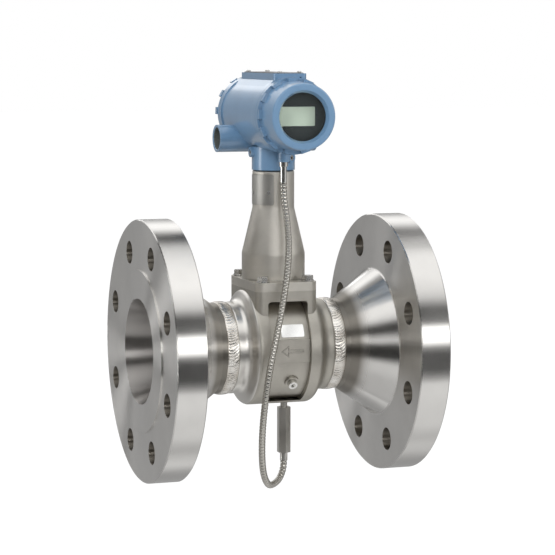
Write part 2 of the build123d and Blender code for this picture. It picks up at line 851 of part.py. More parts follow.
with BuildPart() as head_plate_screws:
    with BuildSketch(level.offset(pad_top + plate_thickness)):
        with Locations((0, pad_centre)):
            with GridLocations(2 * plate_screw_x, plate_screw_pitch, 2, 2):
                Circle(plate_screw_head_r)
    extrude(amount=plate_screw_head)
    chamfer(head_plate_screws.faces().filter_by(Axis.Z).group_by(Axis.Z)[-1].edges(), plate_screw_chamfer)
    with BuildSketch(level.offset(pad_top + plate_thickness)):
        with Locations((0, pad_centre)):
            with GridLocations(2 * plate_screw_x, plate_screw_pitch, 2, 2):
                Circle(plate_screw_r)
    extrude(amount=-(plate_screw_length + plate_thickness - joint_gap))
save(head_plate_screws, "head_plate_screws")

# Front cover with its window opening, screwed into the front of the housing
cover_spigot_r = thread_bore_r - running_clearance
rim_back = barrel_front + joint_gap
rim_front = rim_back + front_rim_length
spigot_back = rim_back - cover_spigot_length
front_cover_end = barrel_front + front_cover_length
glass_front = front_cover_end - window_wall
glass_back = glass_front - glass_thickness
retainer_back = glass_back - retainer_thickness
glass_seat_r = glass_r + glass_clearance
with BuildPart() as front_cover:
    with BuildSketch(head_section):
        with BuildLine():
            Polyline(
                (spigot_back, cover_inner_r),
                (spigot_back, cover_spigot_r),
                (rim_back, cover_spigot_r),
                (rim_back, front_rim_r),
                (rim_front, front_rim_r),
                (rim_front, front_cover_r),
                (front_cover_end, front_cover_front_r),
                (front_cover_end, window_mouth_r),
                (glass_front, window_hole_r),
                (glass_front, glass_seat_r),
                (retainer_back, glass_seat_r),
                (retainer_back, cover_inner_r),
                close=True,
            )
        make_face()
    revolve(axis=head_axis)
    front_edges = front_cover.edges().filter_by(GeomType.CIRCLE)
    front_edge = front_edges.filter_by(lambda edge: abs(edge.radius - front_cover_front_r) < 0.01)
    fillet(front_edge, front_cover_edge_r)
    with BuildSketch(head.offset(rim_front)):
        with PolarLocations((rib_root_r + front_rib_r) / 2, rib_count, start_angle=180 - rib_phase):
            Rectangle(front_rib_r - rib_root_r, front_rib_width)
    extrude(amount=front_rib_length)
save(front_cover, "front_cover")

with BuildPart() as window_glass:
    with BuildSketch(head.offset(glass_back)):
        Circle(glass_r)
    extrude(amount=glass_thickness)
save(window_glass, "window_glass")

with BuildPart() as glass_retainer:
    with BuildSketch(head.offset(retainer_back)):
        Circle(glass_seat_r - thread_clearance)
        Circle(retainer_inner_r, mode=Mode.SUBTRACT)
    extrude(amount=retainer_thickness)
save(glass_retainer, "glass_retainer")

# Blind cover with a ribbed rim, screwed into the back of the housing
rear_rim_start = barrel_back + joint_gap
rear_rim_end = rear_rim_start + rear_rim_length
rear_spigot_end = rear_rim_start - cover_spigot_length
rear_cover_end = barrel_back + rear_cover_length
with BuildPart() as rear_cover:
    with BuildSketch(head_section):
        with BuildLine():
            Polyline(
                (-rear_spigot_end, cover_inner_r),
                (-rear_spigot_end, cover_spigot_r),
                (-rear_rim_start, cover_spigot_r),
                (-rear_rim_start, rear_rim_r),
                (-rear_rim_end, rear_rim_r),
                (-rear_rim_end, rear_cover_r),
                (-rear_cover_end, rear_cover_r),
                (-rear_cover_end, 0),
                (rear_cover_wall - rear_cover_end, 0),
                (rear_cover_wall - rear_cover_end, cover_inner_r),
                close=True,
            )
        make_face()
    revolve(axis=head_axis)
    back_edges = rear_cover.edges().filter_by(GeomType.CIRCLE)
    back_edges = back_edges.filter_by_position(Axis.Y, rear_cover_end - 0.1, rear_cover_end + 0.1)
    fillet(back_edges, rear_cover_edge_r)
    with BuildSketch(head.offset(-rear_rim_end)):
        with PolarLocations((rib_root_r + rear_rib_r) / 2, rib_count, start_angle=180 - rib_phase):
            Rectangle(rear_rib_r - rib_root_r, rear_rib_width)
    extrude(amount=rear_rim_length)
save(rear_cover, "rear_cover")

# Seals, each in the pocket at the mouth of the housing
seal_inset = seal_pocket_depth - skin_clearance - seal_section_r
front_seal_reach = barrel_front - seal_inset
rear_seal_reach = seal_inset - barrel_back
for seal_name, seal_reach in (("front_seal", front_seal_reach), ("rear_seal", rear_seal_reach)):
    with BuildPart() as seal:
        with BuildSketch(head_section):
            with Locations((seal_reach, seal_centre_r)):
                Circle(seal_section_r)
        revolve(axis=head_axis)
    save(seal, seal_name)

# Display module with its recess, on three posts
display_face = retainer_back - display_gap
display_back = display_face - display_depth
pack_front = display_back - display_post_length
with BuildPart() as display_module:
    with BuildSketch(head.offset(display_back)):
        Circle(display_r)
    extrude(amount=display_depth)
    with BuildSketch(head.offset(display_face)):
        with Locations((panel_shift, 0)):
            RectangleRounded(panel_width, panel_height, panel_corner_r)
    extrude(amount=-panel_recess, mode=Mode.SUBTRACT)
    with BuildSketch(head.offset(pack_front)):
        with PolarLocations(display_post_circle, 3, start_angle=90):
            Circle(display_post_r)
    extrude(amount=display_post_length)
save(display_module, "display_module")

clear_width = panel_width - 2 * panel_clearance
clear_height = panel_height - 2 * panel_clearance
with BuildPart() as display_panel:
    with BuildSketch(head.offset(display_face - panel_recess)):
        with Locations((panel_shift, 0)):
            RectangleRounded(clear_width, clear_height, panel_corner_r - panel_clearance)
    extrude(amount=panel_thickness)
save(display_panel, "display_panel")

# Electronics pack, with the shelf that takes the sensor plug
with BuildPart() as electronics_pack:
    with BuildSketch(head.offset(pack_back)):
        Circle(pack_r)
    extrude(amount=pack_front - pack_back)
    chamfer(electronics_pack.edges().filter_by(GeomType.CIRCLE), pack_chamfer)
    with BuildSketch(level.offset(shelf_bottom)):
        with Locations((0, -(pack_back + shelf_back) / 2)):
            Rectangle(2 * shelf_half_x, pack_back - shelf_back)
    extrude(amount=shelf_thickness)
save(electronics_pack, "electronics_pack")

with BuildPart() as sensor_lead_plug:
    with BuildSketch(level.offset(lead_top)):
        Circle(lead_plug_r)
    extrude(amount=lead_plug_height)
save(sensor_lead_plug, "sensor_lead_plug")

# Terminal block and its screws on the back of the wall
terminal_face = wall_back - terminal_depth
well_floor = terminal_face + terminal_well_depth
with BuildPart() as terminal_block:
    with BuildSketch(head.offset(terminal_face)):
        with Locations((0, terminal_rise)):
            RectangleRounded(terminal_width, terminal_height, terminal_corner_r)
    extrude(amount=terminal_depth)
    with BuildSketch(head.offset(terminal_face)):
        with Locations((0, terminal_rise)):
            with GridLocations(terminal_pitch, 0, terminal_count, 1):
                Circle(terminal_well_r)
    extrude(amount=terminal_well_depth, mode=Mode.SUBTRACT)
    with BuildSketch(head.offset(well_floor)):
        with Locations((0, terminal_rise)):
            with GridLocations(terminal_pitch, 0, terminal_count, 1):
                Circle(terminal_screw_r + thread_clearance)
    extrude(amount=terminal_screw_length, mode=Mode.SUBTRACT)
save(terminal_block, "terminal_block")

with BuildPart() as terminal_screws:
    with BuildSketch(head.offset(well_floor)):
        with Locations((0, terminal_rise)):
            with GridLocations(terminal_pitch, 0, terminal_count, 1):
                Circle(terminal_head_r)
    extrude(amount=-terminal_head)
    with BuildSketch(head.offset(well_floor)):
        with Locations((0, terminal_rise)):
            with GridLocations(terminal_pitch, 0, terminal_count, 1):
                Circle(terminal_screw_r)
    extrude(amount=terminal_screw_length - joint_gap)
save(terminal_screws, "terminal_screws")

# Temperature probe, up through the bottom of the body into the bar
probe_shoulder = -body_r + probe_stem_seat
adapter_top = -body_r - adapter_drop
with BuildPart() as temperature_probe:
    with BuildSketch(level.offset(adapter_top - probe_stem_grip)):
        with Locations((probe_x, 0)):
            Circle(probe_stem_r)
    extrude(amount=probe_shoulder - adapter_top + probe_stem_grip)
    with BuildSketch(level.offset(probe_shoulder)):
        with Locations((probe_x, 0)):
            Circle(probe_tip_r)
    extrude(amount=probe_tip_top - probe_shoulder)
save(temperature_probe, "temperature_probe")

adapter_bottom = adapter_top - adapter_length
with BuildPart() as probe_adapter:
    with BuildSketch(level.offset(adapter_bottom)):
        with Locations((probe_x, 0)):
            RegularPolygon(adapter_af / 2, 6, major_radius=False, rotation=adapter_turn)
    extrude(amount=adapter_length)
    with BuildSketch(level.offset(adapter_top)):
        with Locations((probe_x, 0)):
            Circle(probe_stem_r + thread_clearance)
    extrude(amount=-probe_stem_grip, mode=Mode.SUBTRACT)
save(probe_adapter, "probe_adapter")

# Ferrules at the two ends of the cable
with BuildPart() as probe_ferrule:
    with BuildSketch(level.offset(adapter_bottom)):
        with Locations((probe_x, 0)):
            Circle(ferrule_r)
    extrude(amount=-ferrule_length)
save(probe_ferrule, "probe_ferrule")

with BuildPart() as head_ferrule:
    with BuildSketch(level.offset(cable_boss_bottom)):
        with Locations((cable_boss_x, cable_boss_y)):
            Circle(collar_r)
    extrude(amount=-collar_length)
    with BuildSketch(level.offset(cable_boss_bottom)):
        with Locations((cable_boss_x, cable_boss_y)):
            Circle(sleeve_r)
    extrude(amount=-upper_ferrule_length)
save(head_ferrule, "head_ferrule")

# Armoured cable: from the head it bows out in front of the body, hangs below it and turns up to the probe
cable_start = (cable_boss_x, cable_boss_y, cable_boss_bottom - upper_ferrule_length)
cable_end = (probe_x, 0, adapter_bottom - ferrule_length)
cable_route = [
    cable_start,
    (1.0, -27.0, 150.0),
    (2.8, -30.8, 130.8),
    (2.4, -40.0, 103.7),
    (-2.2, -49.3, 77.8),
    (-9.0, -56.8, 51.0),
    (-17.1, -63.5, 22.6),
    (-25.0, -67.2, -6.4),
    (-29.2, -66.0, -34.6),
    (-31.1, -60.0, -69.1),
    (-28.8, -50.8, -99.3),
    (-23.1, -39.2, -120.9),
    (-12.9, -27.6, -135.1),
    (0.2, -11.2, -133.6),
    (7.0, -3.6, -129.7),
    (probe_x, 0, -121.5),
    cable_end,
]
cable_points = [Vector(mid_x + x, y, z) for x, y, z in cable_route]
cable_radii = []
for before, corner, after in zip(cable_points, cable_points[1:], cable_points[2:]):
    shorter_run = min((corner - before).length, (after - corner).length)
    half_turn = radians((corner - before).get_angle(after - corner) / 2)
    cable_radii.append(0.45 * shorter_run / tan(half_turn))
with BuildPart() as armoured_cable:
    with BuildLine() as cable_line:
        FilletPolyline(*cable_points, radius=cable_radii)
    with BuildSketch(cable_line.line ^ 0):
        Circle(cable_r)
    sweep()
save(armoured_cable, "armoured_cable")

cable_length = cable_line.wires()[0].length
print("cable length", round(cable_length, 1), "volume ratio",
      round(armoured_cable.part.volume / (pi * cable_r**2 * cable_length), 4))
print("cable radii", [round(radius, 1) for radius in cable_radii])
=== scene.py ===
import math

import bmesh
import bpy
from mathutils import Matrix, Vector


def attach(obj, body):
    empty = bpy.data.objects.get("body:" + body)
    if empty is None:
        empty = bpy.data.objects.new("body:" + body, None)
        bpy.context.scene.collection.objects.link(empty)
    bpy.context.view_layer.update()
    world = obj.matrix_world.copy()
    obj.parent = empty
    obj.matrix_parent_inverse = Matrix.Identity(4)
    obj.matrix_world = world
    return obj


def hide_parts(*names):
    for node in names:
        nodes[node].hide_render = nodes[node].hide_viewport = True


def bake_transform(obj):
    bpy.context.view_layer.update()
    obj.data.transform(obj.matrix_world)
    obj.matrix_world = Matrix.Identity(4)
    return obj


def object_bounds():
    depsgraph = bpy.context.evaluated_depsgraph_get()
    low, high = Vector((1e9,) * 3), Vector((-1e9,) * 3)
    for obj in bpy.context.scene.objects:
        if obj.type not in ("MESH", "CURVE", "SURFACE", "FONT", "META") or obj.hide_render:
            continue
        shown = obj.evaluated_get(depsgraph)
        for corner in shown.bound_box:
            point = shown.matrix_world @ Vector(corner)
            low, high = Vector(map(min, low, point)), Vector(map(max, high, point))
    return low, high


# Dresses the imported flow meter: its materials, weld beads, armoured cable, light and camera.
# Metres, in the row's frame: the pipe runs along X, Z is up, and the display looks towards -Y.
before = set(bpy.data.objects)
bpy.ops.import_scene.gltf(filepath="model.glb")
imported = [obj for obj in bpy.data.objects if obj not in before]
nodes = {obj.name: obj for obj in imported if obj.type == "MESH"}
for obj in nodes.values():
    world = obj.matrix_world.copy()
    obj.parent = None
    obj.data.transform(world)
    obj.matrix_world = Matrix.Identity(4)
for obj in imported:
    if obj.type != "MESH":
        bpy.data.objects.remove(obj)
cad_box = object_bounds()

MID_X = -0.1365


# Shader nodes

def feed(tree, socket, value):
    """Links a socket to another one, or sets it to a number, a vector or a colour."""
    if isinstance(value, bpy.types.NodeSocket):
        tree.links.new(value, socket)
    elif socket.type == "RGBA":
        red, green, blue = value if isinstance(value, tuple) else (value, value, value)
        socket.default_value = (red, green, blue, 1)
    else:
        socket.default_value = value


def add(tree, kind, inputs=None, **properties):
    """A new node, with its properties set and its inputs fed."""
    node = tree.nodes.new(kind)
    for name, value in properties.items():
        setattr(node, name, value)
    for name, value in (inputs or {}).items():
        feed(tree, node.inputs[name], value)
    return node


def math_node(tree, operation, *values):
    """The output of a math node on sockets and numbers."""
    return add(tree, "ShaderNodeMath", dict(enumerate(values)), operation=operation).outputs[0]


def mix_colour(tree, factor, first, second, blend_type="MIX"):
    """Mixes two colours, each a socket, a colour or a grey, by a factor."""
    node = add(tree, "ShaderNodeMix", data_type="RGBA", blend_type=blend_type)
    for socket, value in ((0, factor), (6, first), (7, second)):
        feed(tree, node.inputs[socket], value)
    return node.outputs[2]


def share_between(tree, value, low, high):
    """0 to 1 as a value goes from low to high."""
    return add(tree, "ShaderNodeMapRange", {"Value": value, "From Min": low, "From Max": high}).outputs["Result"]


def ramp(tree, factor, stops):
    """A colour ramp with (place, grey or colour) stops."""
    node = add(tree, "ShaderNodeValToRGB", {"Fac": factor})
    elements = node.color_ramp.elements
    while len(elements) < len(stops):
        elements.new(0.5)
    for element, (place, value) in zip(elements, stops):
        element.position = place
        element.color = (*value, 1) if isinstance(value, tuple) else (value, value, value, 1)
    return node.outputs["Color"]


def object_place(tree):
    """The place on the object."""
    return add(tree, "ShaderNodeTexCoord").outputs["Object"]


def noise(tree, place, scale, detail, roughness=0.5):
    """Noise over a place."""
    inputs = {"Vector": place, "Scale": scale, "Detail": detail, "Roughness": roughness}
    return add(tree, "ShaderNodeTexNoise", inputs).outputs["Fac"]


def cloudy(tree, cloud, share, colour, low, high):
    """A colour that falls to a share of itself where the noise is low."""
    return ramp(tree, cloud, [(low, tuple(share * c for c in colour)), (high, colour)])


def painted_crevice_shade(tree, colour, share, reach):
    """The colour with painted shade: darker in corners and crevices, where less light reaches."""
    # Painted shade: ambient occlusion darkens the colour in corners and crevices.
    corner = add(tree, "ShaderNodeAmbientOcclusion", {"Distance": reach}, samples=6)
    crevice_darkening = ramp(tree, corner.outputs["AO"], [(0.35, share), (0.85, 1.0)])
    return mix_colour(tree, 1.0, colour, crevice_darkening, blend_type="MULTIPLY")


def about_x(tree, vector):
    """A vector's X, its part across X and that part's length."""
    split = add(tree, "ShaderNodeSeparateXYZ", {0: vector}).outputs
    across = add(tree, "ShaderNodeCombineXYZ", {"Y": split["Y"], "Z": split["Z"]}).outputs[0]
    length = add(tree, "ShaderNodeVectorMath", {0: across}, operation="LENGTH").outputs["Value"]
    return split["X"], across, length


# Materials

# Radii from the pipe's axis
BORE_LIMIT = 0.052
BOLT_HOLES = (0.087, 0.113)
# Distances along the pipe from the meter's middle
NECK_HEAT = (0.072, 0.087)
BORE_TAPER = (0.092, 0.104)
# The X past which the body is turned bright
OUTLET_NECK = MID_X - 0.0315
# The two conduit bores share one axis along X and stop short of its middle
CONDUIT_MIDDLE = (MID_X, 0.024, 0.2026)
CONDUIT_RADIUS = 0.0108
CONDUIT_FROM = 0.014
# Painted shade deep in the pipe's bore, where little light reaches
BORE_PAINTED_SHADE = (0.16, 0.15, 0.135)


def new_material(name, **inputs):
    """A material, its tree and its Principled shader, with numbers for some inputs of the shader."""
    material = bpy.data.materials.new(name)
    material.use_nodes = True
    tree = material.node_tree
    shader = tree.nodes["Principled BSDF"]
    for key, value in inputs.items():
        feed(tree, shader.inputs[key.replace("_", " ")], value)
    return material, tree, shader


def bump(tree, shader, height, strength, distance, rounding=0.0):
    """Feeds a height into the shader's normal, over edges rounded by a bevel."""
    node = add(tree, "ShaderNodeBump", {"Strength": strength, "Distance": distance, "Height": height})
    if rounding:
        edge = add(tree, "ShaderNodeBevel", {"Radius": rounding}, samples=4)
        feed(tree, node.inputs["Normal"], edge.outputs["Normal"])
    feed(tree, shader.inputs["Normal"], node.outputs["Normal"])


def in_pipe_bore(tree, normal, across, radius):
    """1 on a surface near the pipe's axis that faces it, and 0 elsewhere."""
    outward = add(tree, "ShaderNodeVectorMath", {0: normal, 1: across}, operation="DOT_PRODUCT")
    inward = math_node(tree, "LESS_THAN", outward.outputs["Value"], 0.0)
    return math_node(tree, "MULTIPLY", inward, math_node(tree, "LESS_THAN", radius, BORE_LIMIT))


def turned_steel(name, colour, roughness):
    """Lathe-turned stainless steel: fine grooves round the pipe's axis, a neck dulled by the welding, and painted
    shade in the bolt holes and the bore.
    """
    material, tree, shader = new_material(name, Metallic=1.0, Anisotropic=1.0, Anisotropic_Rotation=0.25)
    place = object_place(tree)
    x, across, radius = about_x(tree, place)
    from_middle = math_node(tree, "ABSOLUTE", math_node(tree, "SUBTRACT", x, MID_X))
    clean = share_between(tree, from_middle, *NECK_HEAT)
    normal = add(tree, "ShaderNodeNewGeometry").outputs["Normal"]
    along = math_node(tree, "ABSOLUTE", add(tree, "ShaderNodeSeparateXYZ", {0: normal}).outputs["X"])
    end_face = math_node(tree, "GREATER_THAN", along, 0.9)
    bore = in_pipe_bore(tree, normal, across, radius)
    drilled = math_node(tree, "LESS_THAN", along, 0.5)
    for operation, limit in zip(("GREATER_THAN", "LESS_THAN"), BOLT_HOLES):
        drilled = math_node(tree, "MULTIPLY", drilled, math_node(tree, operation, radius, limit))
    lathe = add(tree, "ShaderNodeCombineXYZ", {"X": x, "Y": radius}).outputs[0]
    grooves = noise(tree, lathe, 5200.0, 2.0, 0.6)
    cloud = noise(tree, place, 30.0, 4.0, 0.55)

    shade = cloudy(tree, cloud, 0.94, colour, 0.35, 0.65)
    tint = ramp(tree, clean, [(0.0, (0.40, 0.375, 0.335)), (0.35, (0.62, 0.60, 0.57)), (1.0, colour)])
    skin = mix_colour(tree, clean, tint, shade)
    # Painted shade: the walls of the bolt holes are painted dark.
    skin = mix_colour(tree, drilled, skin, (0.33, 0.305, 0.265))
    # Painted shade: the pipe's bore is painted dark, darkest deep inside and lighter towards the flange's face.
    taper = share_between(tree, from_middle, *BORE_TAPER)
    bore_shade = ramp(tree, taper, [(0.0, BORE_PAINTED_SHADE), (1.0, (0.50, 0.48, 0.46))])
    feed(tree, shader.inputs["Base Color"], mix_colour(tree, bore, skin, bore_shade))

    worn = ramp(tree, cloud, [(0.3, roughness * 0.93), (0.7, roughness * 1.07)])
    worn = mix_colour(tree, end_face, worn, 0.28)
    dull = ramp(tree, clean, [(0.0, 0.5), (0.3, 0.42), (0.75, roughness * 1.1), (1.0, roughness)])
    worn = mix_colour(tree, clean, dull, worn)
    for hole in (drilled, bore):
        worn = mix_colour(tree, hole, worn, 0.36)
    feed(tree, shader.inputs["Roughness"], worn)

    tangent = add(tree, "ShaderNodeTangent", direction_type="RADIAL", axis="X")
    feed(tree, shader.inputs["Tangent"], tangent.outputs["Tangent"])
    bump(tree, shader, grooves, 0.12, 0.00015, rounding=0.0005)
    return material


def casting_noise(tree, place):
    """The fine pits and the broad clouds of a blasted casting."""
    return noise(tree, place, 1400.0, 3.0, 0.65), noise(tree, place, 45.0, 5.0, 0.6)


def cast_steel(name, colour, roughness, grain=1.0, rounding=0.0008, crevice_shade=0.5, reach=0.0018):
    """Blasted or, with less grain, bright stainless steel, with painted shade darkening its corners and crevices.
    """
    material, tree, shader = new_material(name, Metallic=1.0)
    fine, broad = casting_noise(tree, object_place(tree))
    shade = cloudy(tree, broad, 0.86, colour, 0.32, 0.68)
    # Painted shade darkens the colour in corners and crevices.
    feed(tree, shader.inputs["Base Color"], painted_crevice_shade(tree, shade, crevice_shade, reach))
    feed(tree, shader.inputs["Roughness"], ramp(tree, broad, [(0.3, roughness * 0.9), (0.7, roughness * 1.12)]))
    bump(tree, shader, fine, 0.35 * grain, 0.00025, rounding)
    return material


def meter_casting(name, dull, bright):
    """The meter body: blasted all over, but for the outlet neck, which is turned bright, with painted shade in its
    bore and crevices.
    """
    material, tree, shader = new_material(name, Metallic=1.0)
    place = object_place(tree)
    x, across, radius = about_x(tree, place)
    fine, broad = casting_noise(tree, place)
    turned = math_node(tree, "LESS_THAN", x, OUTLET_NECK)
    bore = in_pipe_bore(tree, add(tree, "ShaderNodeNewGeometry").outputs["Normal"], across, radius)
    colour = mix_colour(tree, turned, cloudy(tree, broad, 0.86, dull, 0.32, 0.68), bright)
    # Painted shade: the body's bore is painted dark.
    colour = mix_colour(tree, bore, colour, BORE_PAINTED_SHADE)
    # Painted shade strongly darkens the body's narrow crevices and corners.
    feed(tree, shader.inputs["Base Color"], painted_crevice_shade(tree, colour, 0.12, 0.0008))
    feed(tree, shader.inputs["Roughness"], mix_colour(tree, turned, 0.46, 0.3))
    grain = math_node(tree, "MULTIPLY_ADD", turned, -0.9, 1.0)
    bump(tree, shader, math_node(tree, "MULTIPLY", fine, grain), 0.35, 0.00025, rounding=0.0004)
    return material


def in_conduit_bore(tree, place):
    """1 inside the two conduit bores, whose walls carry no paint and are painted dark as shade, and 0 elsewhere.
    """
    moved = add(tree, "ShaderNodeVectorMath", {0: place, 1: CONDUIT_MIDDLE}, operation="SUBTRACT")
    x, _, radius = about_x(tree, moved.outputs[0])
    near = math_node(tree, "LESS_THAN", radius, CONDUIT_RADIUS)
    beyond = math_node(tree, "GREATER_THAN", math_node(tree, "ABSOLUTE", x), CONDUIT_FROM)
    return math_node(tree, "MULTIPLY", near, beyond)


def enamel(name, colour):
    """Satin two-coat paint on a casting, with a little orange peel, and unpainted conduit bores painted dark as
    shade.
    """
    material, tree, shader = new_material(name, Roughness=0.36, Coat_Roughness=0.13)
    place = object_place(tree)
    peel = noise(tree, place, 900.0, 2.0)
    shade = cloudy(tree, noise(tree, place, 40.0, 3.0), 0.92, colour, 0.3, 0.7)
    bare_shaded_bore = in_conduit_bore(tree, place)
    # Painted shade: the unpainted conduit bores are painted dark.
    feed(tree, shader.inputs["Base Color"], mix_colour(tree, bare_shaded_bore, shade, (0.13, 0.145, 0.14)))
    feed(tree, shader.inputs["Metallic"], math_node(tree, "MULTIPLY", bare_shaded_bore, 0.3))
    feed(tree, shader.inputs["Coat Weight"], math_node(tree, "SUBTRACT", 1.0, bare_shaded_bore))
    bump(tree, shader, peel, 0.18, 0.0002, rounding=0.0010)
    return material


def moulded(name, colour, roughness, metallic=0.0, specular=0.5):
    """A moulded or sheet surface with a fine even grain."""
    material, tree, shader = new_material(
        name, Roughness=roughness, Metallic=metallic, Specular_IOR_Level=specular)
    fine = noise(tree, object_place(tree), 900.0, 2.0)
    feed(tree, shader.inputs["Base Color"], cloudy(tree, fine, 0.9, colour, 0.3, 0.7))
    bump(tree, shader, fine, 0.1, 0.0001, rounding=0.0003)
    return material


def window_material(name):
    """Clear toughened glass: mostly see-through, with a sharp surface."""
    material, tree, shader = new_material(name, Base_Color=(0.25, 0.28, 0.28), Alpha=0.05)
    faint = noise(tree, object_place(tree), 60.0, 2.0)
    feed(tree, shader.inputs["Roughness"], ramp(tree, faint, [(0.3, 0.02), (0.7, 0.05)]))
    return material


def weld_metal(name):
    """Bright weld metal, warmed in patches by heat tint, with painted shade darkening the grooves between its
    ripples.
    """
    material, tree, shader = new_material(name, Metallic=1.0, Roughness=0.24)
    place = object_place(tree)
    tint = noise(tree, place, 70.0, 3.0)
    shade = ramp(tree, tint, [(0.35, (0.66, 0.62, 0.56)), (0.6, (0.80, 0.775, 0.73))])
    # Painted shade darkens the grooves between the ripples.
    feed(tree, shader.inputs["Base Color"], painted_crevice_shade(tree, shade, 0.1, 0.002))
    bump(tree, shader, noise(tree, place, 1500.0, 2.0), 0.2, 0.0001)
    return material


weld_material = weld_metal("weld_bead")
# Painted shade darkens the grooves between the armour's turns.
armour_material = cast_steel(
    "cable_armour", (0.57, 0.55, 0.505), 0.1, grain=0.0, rounding=0.0, crevice_shade=0.12, reach=0.0009)
finishes = [
    (turned_steel("flange_turned", (0.75, 0.735, 0.71), 0.21), ["inlet_flange", "outlet_flange"]),
    (weld_material, ["inlet_weld", "outlet_weld"]),
    (meter_casting("body_blasted_and_turned", (0.56, 0.535, 0.48), (0.74, 0.72, 0.68)), ["meter_body"]),
    (cast_steel("casting_blasted", (0.72, 0.69, 0.63), 0.46, crevice_shade=0.35, reach=0.003), ["support_tube"]),
    (enamel("blue_enamel", (0.12, 0.225, 0.36)), ["housing", "front_cover", "rear_cover"]),
    # Painted shade darkens the corners round the bolts, washers and screws.
    (cast_steel("bolt_bright", (0.70, 0.69, 0.66), 0.26, grain=0.1, rounding=0.0005, crevice_shade=0.2, reach=0.003),
     ["foot_bolts"]),
    (cast_steel("screw_bright", (0.84, 0.83, 0.81), 0.24, grain=0.1, rounding=0.0004, crevice_shade=0.3, reach=0.002),
     ["foot_washers", "housing_set_screws", "head_plate_screws", "tag_pins"]),
    (cast_steel("plug_turned", (0.88, 0.87, 0.84), 0.22, grain=0.2, rounding=0.0006), ["body_plug"]),
    (cast_steel("ferrule_polished", (0.84, 0.83, 0.80), 0.1, grain=0.05, rounding=0.0003), ["head_ferrule"]),
    (cast_steel("fitting_turned", (0.73, 0.71, 0.67), 0.3, grain=0.25, rounding=0.0004),
     ["probe_adapter", "probe_ferrule", "temperature_probe", "vortex_sensor", "sensor_nut", "conduit_plug"]),
    (cast_steel("tag_sheet", (0.51, 0.50, 0.47), 0.42, grain=0.3, rounding=0.0003), ["neck_tag"]),
    (cast_steel("plate_sheet", (0.46, 0.46, 0.46), 0.4, grain=0.3, rounding=0.0003), ["head_plate"]),
    (moulded("label_film", (0.93, 0.93, 0.91), 0.45), ["body_label"]),
    (moulded("black_moulding", (0.021, 0.026, 0.027), 0.75, specular=0.2),
     ["display_module", "electronics_pack", "terminal_block", "sensor_lead_plug"]),
    (moulded("dark_ring", (0.03, 0.03, 0.033), 0.4, metallic=1.0), ["glass_retainer"]),
    (moulded("display_film", (0.62, 0.74, 0.60), 0.35), ["display_panel"]),
    (moulded("seal_rubber", (0.02, 0.02, 0.02), 0.6), ["front_seal", "rear_seal"]),
    (moulded("lead_sheath", (0.2, 0.2, 0.21), 0.5), ["sensor_lead"]),
    (moulded("terminal_brass", (0.7, 0.55, 0.28), 0.3, metallic=1.0), ["terminal_screws"]),
    (window_material("window_glass_clear"), ["window_glass"]),
]
for finish, node_names in finishes:
    for node_name in node_names:
        mesh_materials = nodes[node_name].data.materials
        mesh_materials.clear()
        mesh_materials.append(finish)


# Pieces made here

def bridge(mesh, first, second):
    """Faces between two closed rings of vertices."""
    count = len(first)
    for index in range(count):
        after = (index + 1) % count
        mesh.faces.new((first[index], first[after], second[after], second[index]))


def new_piece(name, built, material):
    """Turns a built bmesh into a smooth piece with its material."""
    bmesh.ops.recalc_face_normals(built, faces=built.faces)
    built.normal_update()
    mesh = bpy.data.meshes.new(name)
    built.to_mesh(mesh)
    built.free()
    for polygon in mesh.polygons:
        polygon.use_smooth = True
    mesh.materials.append(material)
    piece = bpy.data.objects.new(name, mesh)
    bpy.context.scene.collection.objects.link(piece)
    return piece


# Weld beads

WELD_CENTRE = 0.0545
WELD_HALF = 0.006
WELD_BASE = 0.04447
WELD_SINK = 0.0006
WELD_CROWN = 0.0004
WELD_RIPPLE = 0.0011
WELD_ROWS = 14
RIPPLES = 100
STEPS_A_RIPPLE = 9


def pipe_ring(mesh, x, radii):
    """A ring of vertices round the pipe's axis, evenly spread, one for each radius."""
    ring = []
    for step, radius in enumerate(radii):
        angle = step / len(radii) * math.tau
        ring.append(mesh.verts.new((x, radius * math.cos(angle), radius * math.sin(angle))))
    return ring


def ripple_height(turn, across, side):
    """A ripple's height: overlapping crescents like coins laid over, larger and smaller round the pipe."""
    bow = 0.9 * across * across
    slant = 0.8 * side * across
    wander = 0.25 * math.sin(turn * math.tau * 9)
    phase = (turn * RIPPLES + bow + slant + wander) % 1
    crescent = math.sqrt(max(0.0, 1 - (2 * phase - 1) ** 2)) * (1.15 - 0.5 * phase)
    swell = 0.6 + 0.4 * math.sin(turn * math.tau * 13 + 3 * side)
    return WELD_RIPPLE * crescent * (1 - across ** 6) * swell


def weld_bead(name, side):
    """A rippled cap round the pipe, laid over the weld's own solid."""
    steps = RIPPLES * STEPS_A_RIPPLE
    bead = bmesh.new()
    rings = []
    for row in range(WELD_ROWS + 1):
        across = row / WELD_ROWS * 2 - 1
        crown = WELD_CROWN * (1 - across * across)
        radii = [WELD_BASE + crown + ripple_height(step / steps, across, side) for step in range(steps)]
        rings.append(pipe_ring(bead, MID_X + side * (WELD_CENTRE + across * WELD_HALF), radii))
    for along in (WELD_HALF, -WELD_HALF):
        rings.append(pipe_ring(bead, MID_X + side * (WELD_CENTRE + along), [WELD_BASE - WELD_SINK] * steps))
    for first, second in zip(rings, rings[1:] + rings[:1]):
        bridge(bead, first, second)
    piece = new_piece(name, bead, weld_material)
    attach(piece, "meter")


weld_bead("inlet_weld_cap", 1)
weld_bead("outlet_weld_cap", -1)


# Armoured cable

